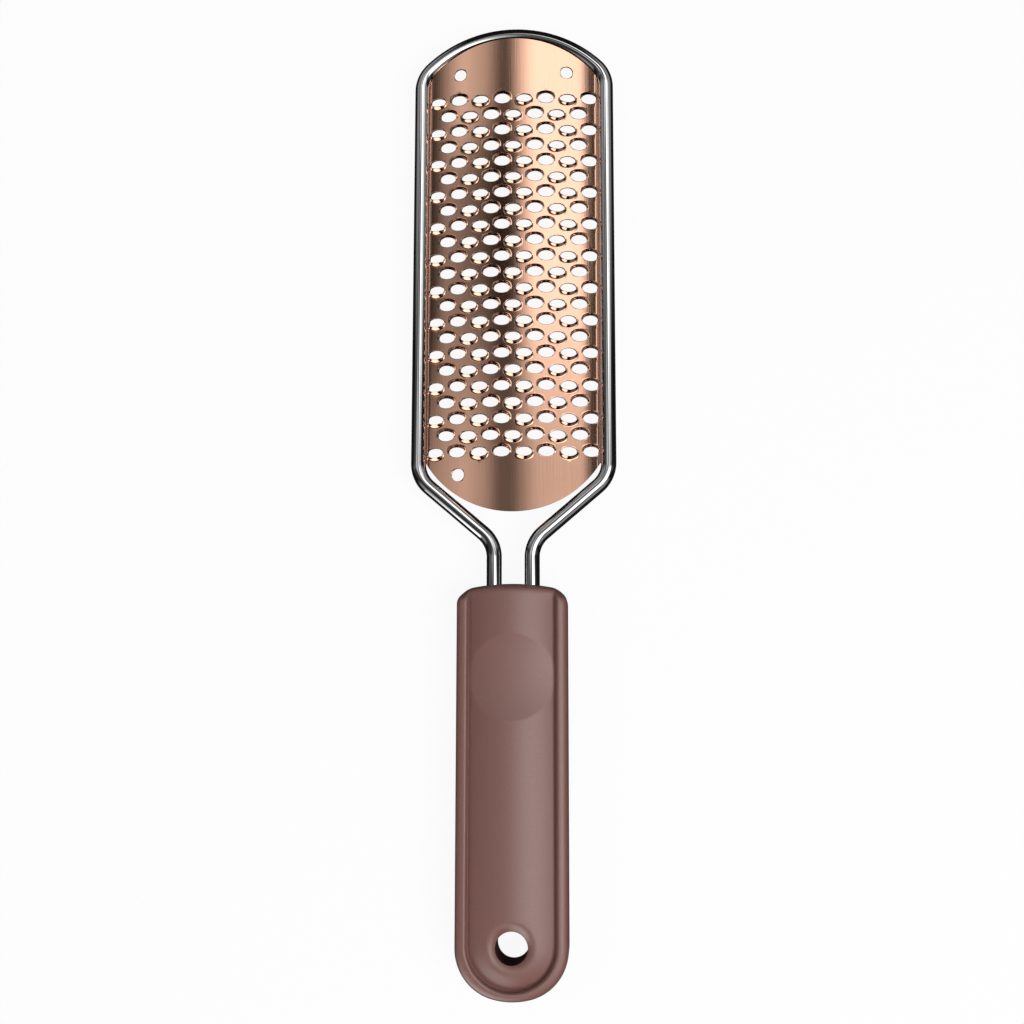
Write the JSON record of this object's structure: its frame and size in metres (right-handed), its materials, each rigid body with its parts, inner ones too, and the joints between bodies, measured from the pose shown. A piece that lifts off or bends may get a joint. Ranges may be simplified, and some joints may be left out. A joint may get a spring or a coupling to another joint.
{
  "type": "foot file",
  "caption": "Hand-held foot file: an arched sheet-steel rasp with raised cutting lips, set in a bent wire frame on a soft-touch handle with a thumb hollow and a flared hanging hole.",
  "frame": {"origin": "centre of the overall box in plan, on the surface that the back of the handle lies on", "axes": "+Y along the tool from the handle towards the rasp's tip, +Z out of the toothed face, +X to the right seen from the toothed face with the tip up"},
  "size_m": [0.0546, 0.2587, 0.0145],
  "materials": {
    "chromed_wire": "polished",
    "rose_gold_steel": "brushed rose-gold coating",
    "hard_plastic": "plain moulded",
    "soft_grip": "matte soft-touch"
  },
  "bodies": {
    "root": {"wire_frame": "chromed_wire", "rasp_blade": "rose_gold_steel", "handle_core": "hard_plastic", "handle_grip": "soft_grip"}
  },
  "joints": []
}
